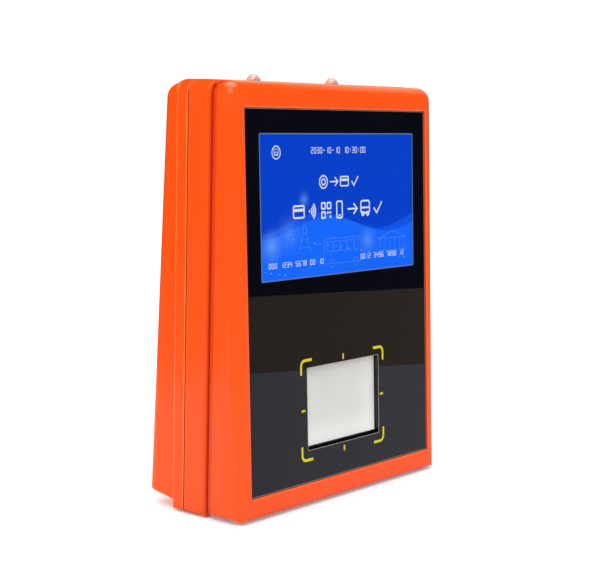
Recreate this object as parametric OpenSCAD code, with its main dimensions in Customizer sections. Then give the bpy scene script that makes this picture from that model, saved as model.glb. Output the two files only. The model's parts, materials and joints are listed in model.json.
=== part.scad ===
// On-board fare validator: a pole-mounted box that reads cards and printed or phone codes.
// Millimetres, +Z up, the sloping reader panel faces -Y, the mounting pads face +Y.

/* [Case] */
// Width of the case
body_w = 204; // [190:1:220]
// Height of the case without the lamp domes
body_h = 258.4; // [240:0.2:280]
// Height of the front section's top, a little under the middle band
front_h = 257.8; // [240:0.2:280]
// Lift of the front section's underside above the standing surface
front_lift = 1.7; // [0:0.1:4]
// Radius of the two top corners seen from the front
corner_top = 9; // [4:0.5:16]
// Radius of the two bottom corners seen from the front
corner_bottom = 3.5; // [1:0.5:10]
// Rounding of the front section's sides into the panel rim
front_round = 9; // [4:0.5:12]
// Backward lean of the reader panel
lean = 2.8; // [0:0.1:8]
// Forward lean of the rear face, top towards the front
back_lean = 2.41; // [0:0.01:6]
// Distance from the origin to the rear face at its foot
back_foot = 40.9; // [36:0.01:46]
// Y of the groove between the front section and the middle band
groove_y = -14.7; // [-25:0.1:0]
// Depth of that groove on the sides
groove_depth = 2; // [1:0.1:3]
// Y of the parting seam on the front housing
seam_y = 5.3; // [0:0.1:15]
// Width of the parting seam, filled by the gasket
seam_gap = 0.6; // [0.3:0.1:1.5]
// Y of the shoulder where the rear cover steps in
shoulder_y = 16.2; // [12:0.1:25]
// Step of the rear cover's box behind the shoulder
step_in = 3; // [1:0.5:6]
// Side wall from the outside to the inside of the case
side_wall = 6.5; // [4:0.5:8]

/* [Reader panel] */
// Width of the reader panel glass
panel_w = 181.7; // [160:0.1:190]
// Height of the reader panel glass
panel_h = 227.8; // [200:0.2:240]
// Thickness of the panel glass
panel_t = 2.8; // [2:0.1:4]
// Panel centre in front of the origin
panel_y = -32.8; // [-40:0.1:-28]
// Panel centre height
panel_z = 128.4; // [110:0.1:140]
// Rim of the case standing proud of the glass
rim_proud = 1.4; // [0:0.1:2]
// Gap between glass and rim
panel_gap = 0.35; // [0.2:0.05:1]
// Visible width of the display
screen_w = 154.2; // [140:0.1:160]
// Visible height of the display
screen_h = 86; // [80:0.1:90]
// Display centre above the panel centre
screen_up = 55.9; // [50:0.1:60]
// Width of the scan window opening
window_w = 73.4; // [60:0.1:90]
// Height of the scan window opening
window_h = 51; // [40:0.1:70]
// Scan window centre below the panel centre
window_down = 68.7; // [60:0.1:75]

/* [Status lamps] */
// Radius of each lamp dome
dome_r = 4.4; // [3:0.1:6]
// Distance of each dome from the middle
dome_x = 39; // [30:1:60]
// Y of the domes on the rear cover's top
dome_y = 10.4; // [9:0.1:12]

/* [Rear] */
// Width of the service door
door_w = 112; // [90:1:120]
// Height of the service door
door_h = 60; // [50:1:70]
// Foot of the service door above the standing surface, along the rear face
door_foot = 20; // [16:1:30]
// Thickness of the service door
door_t = 2.6; // [2:0.1:4]
// Door face below the rear face
door_sunk = 1.6; // [1:0.1:3]
// Depth of the service bay below the rear face
bay_depth = 25; // [18:1:28]
// Radius of the hinge pin
pin_r = 1; // [0.8:0.1:2]
// Radial running clearance of the moving fits
run = 0.05; // [0.01:0.01:0.1]
// Spacing of the four mounting inserts
mount_pitch = 75; // [75:25:100]
// Height of the mounting pattern's centre
mount_z = 150; // [140:1:170]
// Thread radius of the mounting inserts
mount_r = 2.5; // [2:0.5:3]

/* [Hidden] */
$fn = 48;
tiny = 0.01;
edge_r = 0.5;                       // softening of the moulded edges at seam and groove
wall = 3;
groove_side = 1.2;                  // the groove is this much deeper at the sides
half_w = body_w / 2;
cover_y = seam_y + seam_gap;
stance_y = -0.2;                    // the flat underside ends here and rises to the rear
rise = 8;                           // degrees of that rise
rear_top = body_h - 2;
rear_sill = 5.6;                    // underside of the rear box at the shoulder
rear_rise = 9;
rear_half = half_w - step_in;
rear_round = 6;                     // rounding at the foot of the rear face
in_half = half_w - side_wall;       // inside half width of the case
in_floor = 5.6;
in_roof = 254;
mask_t = 0.2;
ledge = 3.6;                        // glass, print and tape below the panel front
front_wall = 6.6;
display_w = 165;
display_h = 100;
frame_front = 3.1;
frame_back = 8.9;
plate_t = 1.2;
board_front = 18;
board_t = 1.6;
board_back = board_front + board_t;
board_w = 172;
board_h = 96;
stand_x = 80;
stand_z = 40;
post_x = 90;
post_z = 44;
case_screw_x = 91.5;
case_screw_z = [17, 129, 240];
window_z = -window_down;
window_front = 3.4;
window_plate = 1.5;
hood_back = 20;
scanner_back = 36;
reader_w = 140;                     // lower opening behind the panel
reader_h = 102;
reader_z = -55;
antenna_w = 152;
antenna_h = 114;
antenna_front = 8;
antenna_x = reader_w / 2 + 3;
pad_y = 37.2;
pad_r = 9;
bay_z = door_foot + door_h / 2;
door_inner = -door_sunk - door_t;
hinge_z = door_foot + 3.4;
hinge_y = -door_sunk - door_t / 2;
knuckle_r = 2.2;
lock_z = door_foot + door_h - 14;
lock_r = 5;
plug_r = 3;
lip = 4;                            // wall round the bay mouth behind the door
cam_room = 8;                       // extra height of the tray above the bay mouth for the lock cam
gasket_t = 0.9;
bay_floor = -bay_depth;
mouth_w = door_w - 2 * lip;
mouth_h = door_h - 2 * lip;
mouth_back = door_inner - lip;
tray_t = 1.2;
tray_h = mouth_h + cam_room;
tray_z = bay_z + cam_room / 2;
tray_back = bay_floor - tray_t;
flange_foot = 14;                   // lower and upper edge of the tray's flange
flange_head = 91.2;
flange_screw_x = 40;
flange_screw_z = [16.6, 88.2];
button_r = 3;
reset_x = 16;
setup_x = 29;
button_z = bay_z + 6;
port_x = -4;
post_gap = 45.5;                    // service board posts either side of port_x
service_front = bay_floor - 7.6;
foot_round = 1.2;                   // rounding in front of the flat underside
power_x = 77;
power_z = 66;
cable_x = -72;
cable_y = 26.5;
cable_r = 4;
speaker_x = 62;
speaker_z = 222;
speaker_r = 20;
ear_r = speaker_r + 3;

function arc(cx, cy, r, a0, a1, n = 16) =
  [for (i = [0:n]) [cx + r * cos(a0 + (a1 - a0) * i / n), cy + r * sin(a0 + (a1 - a0) * i / n)]];
function rim_y(z) = panel_y - rim_proud / cos(lean) + (z - panel_z) * tan(lean);
function back_y(z) = back_foot - z * tan(back_lean);
function floor_z(y) = y < stance_y ? 0 : (y - stance_y) * tan(rise);
function sill_z(y) = rear_sill + (y - shoulder_y) * tan(rear_rise);

// Coordinates of the leaning panel: y into the case, z up the panel, origin at its centre.
module on_panel() translate([0, panel_y, panel_z]) rotate([-lean, 0, 0]) children();
// Coordinates of the rear face: y out of the case, z up the face, origin at its foot.
module on_back() translate([0, back_foot, 0]) rotate([back_lean, 0, 0]) children();

// A box given by its centre in x and z and its two y limits.
module slab(w, h, y0, y1, x = 0, z = 0)
  translate([x - w / 2, y0, z - h / 2]) cube([w, y1 - y0, h]);
// A round bar along y between two y limits.
module bar_y(r, y0, y1, x = 0, z = 0)
  translate([x, y0, z]) rotate([-90, 0, 0]) cylinder(r = r, h = y1 - y0);
// A flat outline drawn in x and z, given thickness between two y limits.
module sheet_y(y0, y1) translate([0, y1, 0]) rotate([90, 0, 0]) linear_extrude(y1 - y0) children();
// A side outline drawn in y and z, carried across the width w.
module across(w) translate([-w / 2, 0, 0]) rotate([90, 0, 90]) linear_extrude(w) children();

// The case outline seen from the front, reduced by inset all round.
module outline(z0, z1, inset = 0, side = 0) {
  rt = max(1, corner_top - inset);
  rb = max(1, corner_bottom - inset);
  w = half_w - inset - side;
  polygon(concat(
    arc(w - rt, z1 - inset - rt, rt, 0, 90), arc(-w + rt, z1 - inset - rt, rt, 90, 180),
    arc(-w + rb, z0 + inset + rb, rb, 180, 270), arc(w - rb, z0 + inset + rb, rb, 270, 360)));
}
// Plan outline from y0 to y1 with rounded front (r0) and rear (r1) corners.
module plan(y0, y1, r0, r1) polygon(concat(
  arc(half_w - r0, y0 + r0, r0, -90, 0), arc(half_w - r1, y1 - r1, r1, 0, 90, 6),
  arc(-half_w + r1, y1 - r1, r1, 90, 180, 6), arc(-half_w + r0, y0 + r0, r0, 180, 270)));

// A cube from the origin towards sx, sy and up.
module corner_cube(sx, sy, a) translate([sx < 0 ? -a : 0, sy < 0 ? -a : 0, 0]) cube(a);

// What to cut from a corner, outside a ball of radius r at c, beside a face that leans by tilt.
module ball_corner(c, sx, sy, r, tilt) translate(c) difference() {
  intersection() {
    corner_cube(sx, sy, r + 2);
    rotate([tilt, 0, 0]) corner_cube(sx, sy, r + 3);
  }
  sphere(r = r);
}

module front_section() difference() {
  top_r = corner_top;
  foot_r = 2.5;
  top_c = front_h - top_r;
  foot_c = front_lift + foot_r;
  intersection() {
    sheet_y(-60, groove_y) outline(front_lift, front_h);
    across(body_w + 10) polygon(concat(
      arc(rim_y(top_c) + top_r / cos(lean), top_c, top_r, 90, 180 - lean),
      arc(rim_y(foot_c) + foot_r / cos(lean), foot_c, foot_r, 180 - lean, 270, 8),
      arc(groove_y - edge_r, front_lift + edge_r, edge_r, 270, 360, 6),
      arc(groove_y - edge_r, front_h - edge_r, edge_r, 0, 90, 6)));
    on_panel() translate([0, 0, -150]) linear_extrude(300)
      plan(-rim_proud, 60, front_round, edge_r);
    linear_extrude(body_h) plan(-80, groove_y, edge_r, edge_r);
  }
  for (s = [-1, 1])
    ball_corner([s * (half_w - top_r), rim_y(top_c) + top_r / cos(lean), top_c], s, -1, top_r, -lean);
}

module middle_band() {
  y0 = groove_y + 3;
  r = 4.5;
  seam_c = seam_y - edge_r;
  intersection() {
    sheet_y(y0, seam_y) outline(0, body_h);
    across(body_w + 10) polygon(concat(
      arc(y0 + r, body_h - r, r, 90, 180, 8),
      arc(y0 + foot_round, foot_round, foot_round, 180, 270, 8), [[stance_y, 0]],
      arc(seam_c, floor_z(seam_c) + edge_r / cos(rise), edge_r, 270 + rise, 360, 6),
      arc(seam_c, body_h - edge_r, edge_r, 0, 90, 6)));
    translate([0, 0, -tiny]) linear_extrude(body_h + 1) plan(y0, seam_y, r, edge_r);
  }
}

// The panel recess, with a small chamfer round its mouth.
module panel_recess() {
  w = panel_w / 2 + panel_gap;
  h = panel_h / 2 + panel_gap;
  c = 0.5;
  m = -rim_proud;
  intersection() {
    translate([-w - 5, 0, 0]) rotate([90, 0, 90]) linear_extrude(2 * w + 10) polygon([
      [ledge, -h], [m + c, -h], [m - 1, -h - c - 1], [m - 1, h + c + 1], [m + c, h], [ledge, h]]);
    translate([0, 0, -h - 5]) linear_extrude(2 * h + 10) polygon([
      [-w, ledge], [-w, m + c], [-w - c - 1, m - 1], [w + c + 1, m - 1], [w, m + c], [w, ledge]]);
  }
}

module front_cavity() intersection() {
  on_panel() slab(240, 300, front_wall, 90);
  slab(2 * in_half, in_roof - in_floor, -60, seam_y + 1, 0, (in_roof + in_floor) / 2);
}

module front_housing() color("OrangeRed") difference() {
  union() {
    difference() {
      union() {
        front_section();
        sheet_y(groove_y - 2, groove_y + 7) outline(front_lift, front_h - 0.3 + groove_depth / 2,
          groove_depth, groove_side);
        middle_band();
      }
      front_cavity();
    }
    // bosses for the six case screws
    for (s = [-1, 1], z = case_screw_z) {
      bar_y(4.6, seam_y - 16, seam_y, s * case_screw_x, z);
      slab(7, 5, seam_y - 16, seam_y, s * (in_half - 2), z);
    }
    // posts that hold the display bracket
    on_panel() for (s = [-1, 1], t = [-1, 1])
      bar_y(3.6, front_wall - 1, frame_back + 0.1, s * post_x, screen_up + t * post_z);
    // posts that hold the card antenna board
    on_panel() for (s = [-1, 1], t = [-1, 1])
      bar_y(3, front_wall - 1, antenna_front, s * antenna_x, reader_z + t * 44);
  }
  on_panel() {
    panel_recess();
    slab(display_w + 1, display_h + 1, ledge - 1, front_wall + 1, 0, screen_up);
    slab(reader_w, reader_h, ledge - 1, front_wall + 1, 0, reader_z);
    for (s = [-1, 1], t = [-1, 1]) {
      bar_y(1.25, front_wall - 1.5, frame_back + 1, s * post_x, screen_up + t * post_z);
      bar_y(1, front_wall - 1.5, antenna_front + 1, s * antenna_x, reader_z + t * 44);
    }
  }
  for (s = [-1, 1], z = case_screw_z) bar_y(1.8, seam_y - 14, seam_y + 1, s * case_screw_x, z);
}

module cover_band() {
  r = 3;
  seam_c = cover_y + edge_r;
  intersection() {
    sheet_y(cover_y, shoulder_y) outline(0, body_h);
    across(body_w + 10) polygon(concat(
      arc(seam_c, body_h - edge_r, edge_r, 90, 180, 6),
      arc(seam_c, floor_z(seam_c) + edge_r / cos(rise), edge_r, 180, 270 + rise, 6),
      arc(shoulder_y - r, floor_z(shoulder_y - r) + r / cos(rise), r, 270 + rise, 360, 8),
      arc(shoulder_y - r, body_h - r, r, 0, 90, 8)));
    linear_extrude(body_h) polygon(concat(
      arc(half_w - edge_r, seam_c, edge_r, -90, 0, 6), arc(half_w - r, shoulder_y - r, r, 0, 90, 8),
      arc(-half_w + r, shoulder_y - r, r, 90, 180, 8),
      arc(-half_w + edge_r, seam_c, edge_r, 180, 270, 6)));
  }
}

// Plan of the rear box in the rear face's coordinates, drawn in at the sides and back.
module rear_plan(side = 0, back = 0) {
  x = rear_half - side;
  t = corner_top;
  polygon(concat([[x, -60], [-x, -60]], arc(t - x, -back - t, t, 180, 90),
    arc(x - t, -back - t, t, 90, 0)));
}

module rear_box() difference() {
  r = rear_round;
  t = corner_top;
  intersection() {
    sheet_y(shoulder_y - 5, 50) outline(rear_sill - 4, rear_top, 0, step_in);
    across(body_w) polygon(concat(
      [[shoulder_y - 5, rear_top], [shoulder_y - 5, sill_z(shoulder_y - 5)]],
      arc(back_y(sill_z(38) + r) - r / cos(back_lean), sill_z(38) + r, r, 270 + rear_rise,
        360 + back_lean),
      arc(back_y(rear_top - t) - t / cos(back_lean), rear_top - t, t, back_lean, 90)));
    on_back() translate([0, 0, -20]) linear_extrude(300) rear_plan();
  }
  for (s = [-1, 1])
    ball_corner([s * (rear_half - t), back_y(rear_top - t) - t / cos(back_lean), rear_top - t],
      s, 1, t, back_lean);
}

module rear_cavity() {
  slab(2 * in_half, in_roof - in_floor, cover_y - 1, shoulder_y - 3, 0, (in_roof + in_floor) / 2);
  intersection() {
    slab(2 * (rear_half - wall), 240, shoulder_y - 4, 60, 0, 132);
    on_back() slab(200, 300, -70, -wall, 0, 120);
    across(body_w) polygon([[0, sill_z(0) + wall + 0.5], [60, sill_z(60) + wall + 0.5], [60, 300],
      [0, 300]]);
  }
}

// The door's recess and the mouth of the service bay behind it.
module bay_mouth() on_back() {
  slab(door_w + 1.4, door_h + 1.2, door_inner - 1.2, 1, 0, bay_z);
  slab(mouth_w, mouth_h, mouth_back - 1, 1, 0, bay_z);
}

module rear_cover() color("OrangeRed") difference() {
  union() {
    difference() {
      union() {
        cover_band();
        rear_box();
      }
      rear_cavity();
    }
    // frame round the bay mouth, for the hinge pin and the tray's flange
    intersection() {
      on_back() slab(door_w + 16, flange_head - 9, mouth_back, -1, 0, (flange_head + 11) / 2);
      rear_box();
    }
    // bosses for the six case screws
    for (s = [-1, 1], z = case_screw_z) intersection() {
      union() {
        bar_y(4.6, cover_y, 50, s * case_screw_x, z);
        slab(6, 5, cover_y, 50, s * (in_half - 1.5), z);
      }
      rear_box_fill();
    }
    // four vertical pads for the mounting bracket
    for (s = [-1, 1], t = [-1, 1])
      bar_y(pad_r, pad_y - 14, pad_y, s * mount_pitch / 2, mount_z + t * mount_pitch / 2);
    // thick seat for the cable grommet
    intersection() {
      translate([cable_x, cable_y, 0]) cylinder(r = 11, h = 14.5);
      rear_box_fill();
    }
    // posts for the speaker and the power board
    on_back() {
      for (a = [45:90:359])
        bar_y(2.6, -8, -2, speaker_x + ear_r * cos(a), speaker_z + ear_r * sin(a));
      for (s = [-1, 1], t = [-1, 1]) bar_y(2.8, -10, -2, power_x + s * 11, power_z + t * 36);
    }
  }
  bay_mouth();
  // hinge pin holes in the two ends of the bay mouth
  on_back() translate([-door_w / 2 - 6, hinge_y, hinge_z]) rotate([0, 90, 0])
    cylinder(r = pin_r, h = door_w + 12);
  on_back() {
    for (s = [-1, 1], z = flange_screw_z)
      bar_y(1, mouth_back - 1, mouth_back + 5, s * flange_screw_x, z);
    // sound slots
    for (i = [-3:3]) slab(1.8, 24 - 2 * abs(i), -wall - 1, 1, speaker_x + i * 4.5, speaker_z);
    for (a = [45:90:359])
      bar_y(0.9, -9, -3, speaker_x + ear_r * cos(a), speaker_z + ear_r * sin(a));
    for (s = [-1, 1], t = [-1, 1]) bar_y(0.9, -11, -3, power_x + s * 11, power_z + t * 36);
  }
  for (s = [-1, 1], z = case_screw_z) {
    bar_y(2.2, cover_y - 1, 50, s * case_screw_x, z);
    bar_y(4, cover_y + 5, 50, s * case_screw_x, z);
  }
  for (s = [-1, 1], t = [-1, 1])
    bar_y(3.6, pad_y - 10, pad_y + 1, s * mount_pitch / 2, mount_z + t * mount_pitch / 2);
  // stepped bore for the cable grommet
  translate([cable_x, cable_y, -1]) cylinder(r = 7, h = 20);
  translate([cable_x, cable_y, -1]) cylinder(r = 9.2, h = 10.4);
  // dome holes and flat seats in the top wall
  for (s = [-1, 1]) {
    translate([s * dome_x, dome_y, in_roof - 2]) cylinder(r = 3.2, h = 10);
    translate([s * dome_x, dome_y, in_roof - 3]) cylinder(r = 4.6, h = 3);
  }
}

// Solid volume the rear cover's inner ribs may fill.
module rear_box_fill() union() {
  slab(2 * in_half + 2, in_roof - in_floor + 2, cover_y, shoulder_y - 2, 0, (in_roof + in_floor) / 2);
  intersection() {
    slab(2 * rear_half - 1, 246, shoulder_y - 3, 60, 0, 130);
    on_back() translate([0, 0, -30]) linear_extrude(300) rear_plan(1, wall - 1);
    across(body_w) polygon([[0, sill_z(0) + 0.5], [60, sill_z(60) + 0.5], [60, 253], [0, 253]]);
  }
}

module case_gasket() color("DimGray") difference() {
  sheet_y(seam_y, cover_y) outline(0.9, body_h, 0.9);
  sheet_y(seam_y - 1, cover_y + 1) outline(0.9, body_h, 3.4);
}

module case_screws() color("Silver") for (s = [-1, 1], z = case_screw_z) difference() {
  union() {
    bar_y(1.8, seam_y - 10, cover_y + 6, s * case_screw_x, z);
    bar_y(3.6, cover_y + 5, cover_y + 7.6, s * case_screw_x, z);
  }
  translate([s * case_screw_x, 0, z]) rotate([-90, 0, 0])
    translate([0, 0, cover_y + 6.2]) cylinder(r = 1.7, h = 3, $fn = 6);
}

module panel_glass() color([0.1, 0.1, 0.12, 0.5]) on_panel() difference() {
  slab(panel_w, panel_h, 0, panel_t);
  slab(window_w, window_h, -1, panel_t + 1, 0, window_z);
}

module panel_print() color("Black") on_panel() difference() {
  slab(panel_w, panel_h, panel_t, panel_t + mask_t);
  slab(screen_w, screen_h, panel_t - 1, panel_t + 1, 0, screen_up);
  slab(window_w, window_h, panel_t - 1, panel_t + 1, 0, window_z);
}

module panel_tape() color("DarkSlateGray") on_panel() difference() {
  slab(panel_w, panel_h, panel_t + mask_t, ledge);
  slab(display_w + 2, display_h + 2, panel_t, ledge + 1, 0, screen_up);
  slab(reader_w, reader_h, panel_t, ledge + 1, 0, reader_z);
}

module display_frame() color("Silver") on_panel() difference() {
  slab(display_w, display_h, frame_front, frame_back, 0, screen_up);
  slab(screen_w + 0.6, screen_h + 0.6, frame_front - 1, frame_back, 0, screen_up);
  slab(display_w - 1, display_h - 1, frame_front + 0.3, frame_back + 1, 0, screen_up);
}

module display_panel() color("RoyalBlue") on_panel()
  slab(display_w - 6, display_h - 8, frame_front + 0.3, frame_front + 1.7, 0, screen_up);

module display_backlight() color("WhiteSmoke") on_panel()
  slab(display_w - 1.4, display_h - 1.4, frame_front + 1.8, frame_back - 0.4, 0, screen_up);

module display_bracket() color("LightSteelBlue") on_panel() difference() {
  slab(2 * post_x + 8, 2 * post_z + 12, frame_back + 0.1, frame_back + 0.1 + plate_t, 0, screen_up);
  for (s = [-1, 1])
    slab(50, 46, frame_back - 1, frame_back + 3, s * 38, screen_up + 4);
  for (s = [-1, 1], t = [-1, 1]) {
    bar_y(1.6, frame_back - 1, frame_back + 3, s * post_x, screen_up + t * post_z);
    bar_y(1.6, frame_back - 1, frame_back + 3, s * stand_x, screen_up + t * stand_z);
  }
}

module display_screws() color("Silver") on_panel() for (s = [-1, 1], t = [-1, 1]) {
  bar_y(1.25, frame_back - 3, frame_back + 0.1 + plate_t, s * post_x, screen_up + t * post_z);
  bar_y(2.6, frame_back + 0.1 + plate_t, frame_back + 3, s * post_x, screen_up + t * post_z);
}

module scan_window() color("Gainsboro") on_panel()
  slab(window_w + 7, window_h + 7, window_front, window_front + window_plate, 0, window_z);

module scan_window_gasket() color("DarkSlateGray") on_panel() difference() {
  slab(window_w + 7, window_h + 7, panel_t + mask_t, window_front, 0, window_z);
  slab(window_w + 0.8, window_h + 0.8, panel_t, window_front + 1, 0, window_z);
}

module scanner_hood() color("DimGray") on_panel() difference() {
  union() {
    slab(window_w + 10, window_h + 10, window_front + window_plate, hood_back, 0, window_z);
    slab(112, 84, antenna_front + board_t, antenna_front + board_t + 1.6, 0, window_z);
  }
  slab(window_w + 6, window_h + 6, window_front, hood_back - 2, 0, window_z);
  bar_y(7, hood_back - 3, hood_back + 1, 0, window_z);
  for (s = [-1, 1]) bar_y(2.6, hood_back - 3, hood_back + 1, s * 18, window_z);
  for (s = [-1, 1], t = [-1, 1])
    bar_y(1.3, antenna_front, antenna_front + 6, s * 51, window_z + t * 36);
}

module scanner_body() color("DarkSlateGray") on_panel() difference() {
  slab(54, 40, hood_back, scanner_back, 0, window_z);
  bar_y(6, hood_back - 1, hood_back + 6, 0, window_z);
  for (s = [-1, 1]) bar_y(2.5, hood_back - 1, hood_back + 4, s * 18, window_z);
}

module scanner_lens() color("LightBlue") on_panel()
  bar_y(5.9, hood_back - 1.5, hood_back + 6, 0, window_z);

module scanner_lamps() color("White") on_panel() for (s = [-1, 1])
  bar_y(2.4, hood_back - 1, hood_back + 4, s * 18, window_z);

module card_antenna_board() color("DarkGreen") on_panel() difference() {
  slab(antenna_w, antenna_h, antenna_front, antenna_front + board_t, 0, reader_z);
  slab(window_w + 11, window_h + 11, antenna_front - 1, antenna_front + 3, 0, window_z);
  for (s = [-1, 1], t = [-1, 1]) {
    bar_y(1.2, antenna_front - 1, antenna_front + 3, s * 51, window_z + t * 36);
    bar_y(1.2, antenna_front - 1, antenna_front + 3, s * antenna_x, reader_z + t * 44);
  }
}

module reader_screws() color("Silver") on_panel() {
  for (s = [-1, 1], t = [-1, 1]) {
    bar_y(1, front_wall - 1, antenna_front + board_t, s * antenna_x, reader_z + t * 44);
    bar_y(2, antenna_front + board_t, antenna_front + board_t + 1.6, s * antenna_x, reader_z + t * 44);
    bar_y(1, antenna_front - 1, antenna_front + board_t + 1.6, s * 51, window_z + t * 36);
    bar_y(2, antenna_front + board_t + 1.6, antenna_front + board_t + 3.2, s * 51, window_z + t * 36);
  }
}

module main_board() color("DarkGreen") on_panel() difference() {
  slab(board_w, board_h, board_front, board_back, 0, screen_up);
  for (s = [-1, 1], t = [-1, 1])
    bar_y(1.6, board_front - 1, board_back + 1, s * stand_x, screen_up + t * stand_z);
}

module board_standoffs() color("Goldenrod") on_panel() for (s = [-1, 1], t = [-1, 1])
  difference() {
    union() {
      translate([s * stand_x, frame_back + 0.1 + plate_t, screen_up + t * stand_z])
        rotate([-90, 0, 0]) cylinder(r = 3, h = board_front - frame_back - 0.1 - plate_t, $fn = 6);
      bar_y(1.5, frame_back + 0.1, frame_back + 2, s * stand_x, screen_up + t * stand_z);
    }
    bar_y(1.25, board_front - 6, board_front + 1, s * stand_x, screen_up + t * stand_z);
  }

module board_screws() color("Silver") on_panel() for (s = [-1, 1], t = [-1, 1]) {
  bar_y(1.25, board_front - 4, board_back, s * stand_x, screen_up + t * stand_z);
  bar_y(2.6, board_back, board_back + 1.8, s * stand_x, screen_up + t * stand_z);
}

module processor_shield() color("Silver") on_panel()
  slab(38, 38, board_back, board_back + 3, -10, screen_up + 12);

module mobile_modem() color("LightGray") on_panel()
  slab(30, 30, board_back, board_back + 2.6, 40, screen_up + 20);

module security_sockets() color("DimGray") on_panel() for (i = [0:3])
  slab(15, 26, board_back, board_back + 2.4, -66 + (i % 2) * 18, screen_up - 18 + floor(i / 2) * 30);

module board_headers() color("Ivory") on_panel() {
  for (i = [0:3]) slab(12, 6, board_back, board_back + 6, -24 + i * 16, screen_up - 42);
  slab(6, 20, board_back, board_back + 6, 66, screen_up - 4);
}

module clock_battery() color("Silver") on_panel()
  bar_y(10, board_back, board_back + 4.6, 40, screen_up - 14);

module buzzer() color("Black") on_panel() difference() {
  bar_y(6, board_back, board_back + 7, 14, screen_up - 24);
  bar_y(1.2, board_back + 3, board_back + 8, 14, screen_up - 24);
}

// Flat ribbons run straight back from one board to the next.
module ribbons() color("Peru") on_panel() {
  slab(22, 0.6, frame_back - 0.4, board_front, -38, screen_up + 4);
  slab(12, 0.6, scanner_back, scanner_back + 3, 0, window_z + 18);
  slab(12, 36, scanner_back + 2.4, scanner_back + 3, 0, window_z + 35.7);
}

module status_dome(s) color([0.95, 0.95, 0.95, 0.5]) translate([s * dome_x, dome_y, 0]) {
  difference() {
    union() {
      translate([0, 0, body_h]) intersection() {
        sphere(r = dome_r);
        cylinder(r = dome_r + 1, h = dome_r + 1);
      }
      translate([0, 0, in_roof]) cylinder(r = 3.1, h = body_h - in_roof + 0.4);
      translate([0, 0, in_roof - 1.2]) cylinder(r = 4.2, h = 1.2);
    }
    translate([0, 0, in_roof - 2]) cylinder(r = 1.8, h = 5);
  }
}
module status_dome_left() status_dome(-1);
module status_dome_right() status_dome(1);

module status_led_board() color("DarkGreen") difference() {
  translate([-50, dome_y - 4, in_roof - 5.6]) cube([100, 8, 1.6]);
  for (s = [-1, 1]) translate([s * 24, dome_y, in_roof - 7]) cylinder(r = 1.1, h = 4);
}
module status_leds() color("Ivory") for (s = [-1, 1]) translate([s * dome_x, dome_y, in_roof - 4])
  cylinder(r = 1.6, h = 3.4);
module led_board_screws() color("Silver") for (s = [-1, 1]) translate([s * 24, dome_y, 0]) {
  translate([0, 0, in_roof - 5.6]) cylinder(r = 1, h = 5.6);
  translate([0, 0, in_roof - 7.2]) cylinder(r = 2, h = 1.6);
}

module satellite_antenna() color("Khaki") translate([-12.5, -8, in_roof - 8]) cube([25, 12, 8]);

module power_board() color("DarkGreen") on_back() difference() {
  slab(32, 84, -11.6, -10, power_x, power_z);
  for (s = [-1, 1], t = [-1, 1]) bar_y(1.1, -12, -9, power_x + s * 11, power_z + t * 36);
}
module power_components() color("DimGray") on_back() {
  slab(12, 12, -18.6, -11.6, power_x, power_z + 14);
  for (i = [-1, 1]) bar_y(4, -22, -11.6, power_x + i * 6, power_z - 14);
}
module speaker() color("Black") on_back() difference() {
  union() {
    bar_y(speaker_r, -8, -wall - 0.2, speaker_x, speaker_z);
    bar_y(speaker_r - 7, -16, -8, speaker_x, speaker_z);
    slab(2 * speaker_r + 1, 2 * speaker_r + 1, -9.4, -8, speaker_x, speaker_z);
  }
  bar_y(speaker_r - 2, -5.5, 0, speaker_x, speaker_z);
  for (a = [45:90:359])
    bar_y(1.1, -10, -7, speaker_x + ear_r * cos(a), speaker_z + ear_r * sin(a));
}
module cover_screws() color("Silver") on_back() {
  for (s = [-1, 1], t = [-1, 1]) {
    bar_y(0.9, -11.6, -5, power_x + s * 11, power_z + t * 36);
    bar_y(1.8, -13.1, -11.6, power_x + s * 11, power_z + t * 36);
  }
  for (a = [45:90:359]) {
    bar_y(0.9, -9.4, -5, speaker_x + ear_r * cos(a), speaker_z + ear_r * sin(a));
    bar_y(1.8, -10.8, -9.4, speaker_x + ear_r * cos(a), speaker_z + ear_r * sin(a));
  }
}
module mount_inserts() color("Goldenrod") for (s = [-1, 1], t = [-1, 1]) difference() {
  bar_y(3.6, pad_y - 10, pad_y, s * mount_pitch / 2, mount_z + t * mount_pitch / 2);
  bar_y(mount_r, pad_y - 9, pad_y + 1, s * mount_pitch / 2, mount_z + t * mount_pitch / 2);
}

module cable_grommet() color("DimGray") translate([cable_x, cable_y, 0]) difference() {
  union() {
    translate([0, 0, 7.2]) cylinder(r = 9, h = 2.2);
    translate([0, 0, 9.2]) cylinder(r = 6.9, h = 6);
    translate([0, 0, 14.5]) cylinder(r = 8.6, h = 2);
  }
  translate([0, 0, 6]) cylinder(r = cable_r, h = 12);
}

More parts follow.
